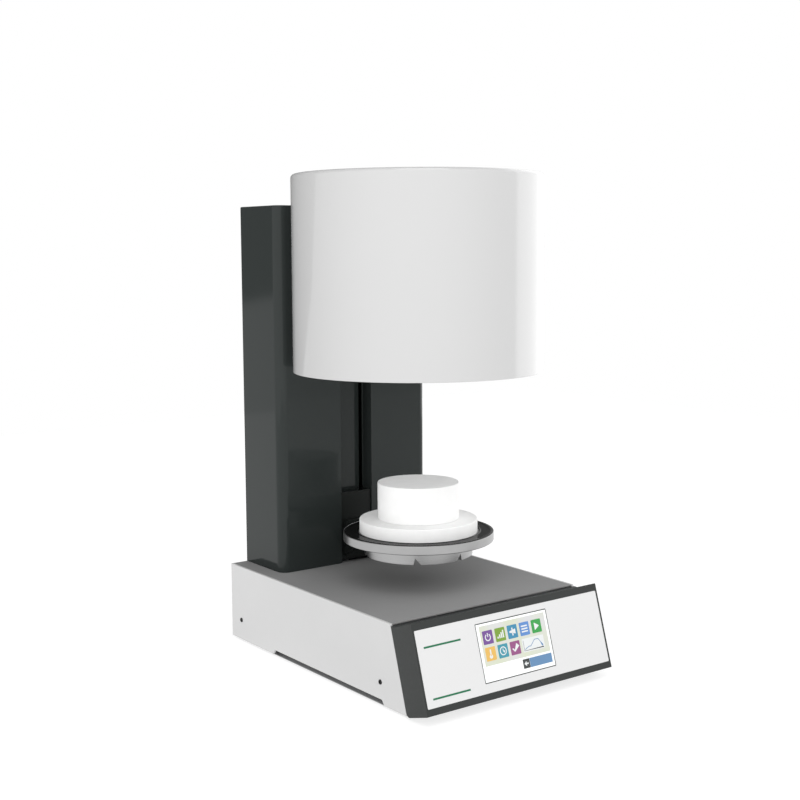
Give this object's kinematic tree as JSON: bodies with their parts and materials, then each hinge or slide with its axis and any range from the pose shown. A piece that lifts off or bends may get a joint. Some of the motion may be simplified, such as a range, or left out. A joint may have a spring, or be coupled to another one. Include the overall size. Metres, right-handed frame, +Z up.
{
  "type": "dental lab furnace",
  "caption": "Dental porcelain vacuum furnace: leaning touch-screen base, rear tower, white round head and a motor-driven firing table that rises to close the chamber.",
  "frame": {"origin": "centre of the footprint box on the bench, under the feet", "axes": "+Z up, +Y to the back (tower side), +X to the right of someone facing the screen"},
  "size_m": [0.272, 0.388, 0.5378],
  "materials": {
    "zinc_sheet": "zinc-plated sheet, satin",
    "side_panel_paint": "light grey powder coat, satin",
    "top_plate_paint": "mid grey powder coat, satin",
    "black_screw": "blackened steel",
    "foot_rubber": "matte",
    "housing_plastic": "fine-textured dark grey",
    "overlay_film": "white, semi-gloss",
    "screen_glass": "lit display behind glass",
    "display_metal": "satin",
    "circuit_board": "green laminate",
    "transformer_iron": "varnished laminations",
    "valve_brass": "turned",
    "black_plastic": "fine texture",
    "tower_paint": "anthracite gloss paint",
    "machined_aluminium": "machined",
    "bright_steel": "ground",
    "motor_paint": "satin black",
    "arm_paint": "satin black",
    "table_metal": "turned, satin",
    "seal_rubber": "smooth silicone, glossy",
    "white_fibre": "white ceramic fibre, matte",
    "head_paint": "gloss white",
    "vessel_steel": "satin stainless steel",
    "quartz_muffle": "fused quartz, milky",
    "coil_wire": "oxidised heating wire",
    "probe_ceramic": "alumina"
  },
  "bodies": {
    "root": {"base_pan": "zinc_sheet", "base_top_plate": "top_plate_paint", "chamber_lining": "white_fibre", "chamber_plate": "machined_aluminium", "column_frame": "zinc_sheet", "control_board": "circuit_board", "control_housing": "housing_plastic", "cover_posts": "machined_aluminium", "cover_screws": "bright_steel", "display_board": "circuit_board", "display_module": "display_metal", "fan_frame": "black_plastic", "front_overlay": "overlay_film", "fuse_holder": "black_plastic", "guide_rods": "bright_steel", "head_bracket": "zinc_sheet", "head_cover": "head_paint", "heating_coil": "coil_wire", "left_side_panel": "side_panel_paint", "lift_motor": "motor_paint", "lower_bearing_plate": "machined_aluminium", "motor_bracket": "zinc_sheet", "mouth_ring": "white_fibre", "muffle_tube": "quartz_muffle", "power_inlet": "black_plastic", "power_transformer": "transformer_iron", "rear_cover_screws": "black_screw", "rear_panel": "top_plate_paint", "right_side_panel": "side_panel_paint", "roof_block": "white_fibre", "rubber_feet": "foot_rubber", "screw_bearings": "bright_steel", "side_panel_screws": "black_screw", "switch_frame": "black_plastic", "thermocouple": "probe_ceramic", "touch_screen": "screen_glass", "tower_rear_cover": "tower_paint", "tower_shell": "tower_paint", "upper_bearing_plate": "machined_aluminium", "vacuum_nipple": "valve_brass", "vacuum_valve": "valve_brass", "vacuum_vessel": "vessel_steel", "vessel_lid": "machined_aluminium"},
    "lift": {"carriage_block": "machined_aluminium", "carriage_bushes": "bright_steel", "screw_nut": "valve_brass", "carriage_cover": "arm_paint", "lift_arm": "arm_paint", "table_skirt": "table_metal", "table_flange": "table_metal", "flange_seal": "seal_rubber", "table_disc": "white_fibre"},
    "drive_screw": {"lead_screw": "bright_steel", "motor_coupling": "machined_aluminium", "motor_shaft": "bright_steel"},
    "pedestal": {"firing_pedestal": "white_fibre"},
    "fan_wheel": {"fan_rotor": "black_plastic"},
    "switch_rocker": {"power_rocker": "black_plastic"}
  },
  "joints": [
    {"name": "table_lift", "type": "slide", "parent": "root", "child": "lift", "axis": [0, 0, 1], "range_m": [0, 0.1796]},
    {"name": "screw_turn", "type": "hinge", "parent": "root", "child": "drive_screw", "pos_m": [0, 0.1375, 0.1639], "axis": [0, 0, 1], "range_deg": [0, 10777]},
    {"name": "pedestal_lift_off", "type": "slide", "parent": "lift", "child": "pedestal", "axis": [0, 0, 1], "range_m": [0, 0.04]},
    {"name": "fan_spin", "type": "hinge", "parent": "root", "child": "fan_wheel", "pos_m": [0.09, 0.172, 0.047], "axis": [0, 1, 0], "continuous": true},
    {"name": "power_switch", "type": "hinge", "parent": "root", "child": "switch_rocker", "pos_m": [-0.048, 0.178, 0.039], "axis": [1, 0, 0], "range_deg": [-14, 0]}
  ],
  "couplings": [
    {"joint": "screw_turn", "follows": "table_lift", "rad_per_m": 1047.2}
  ]
}
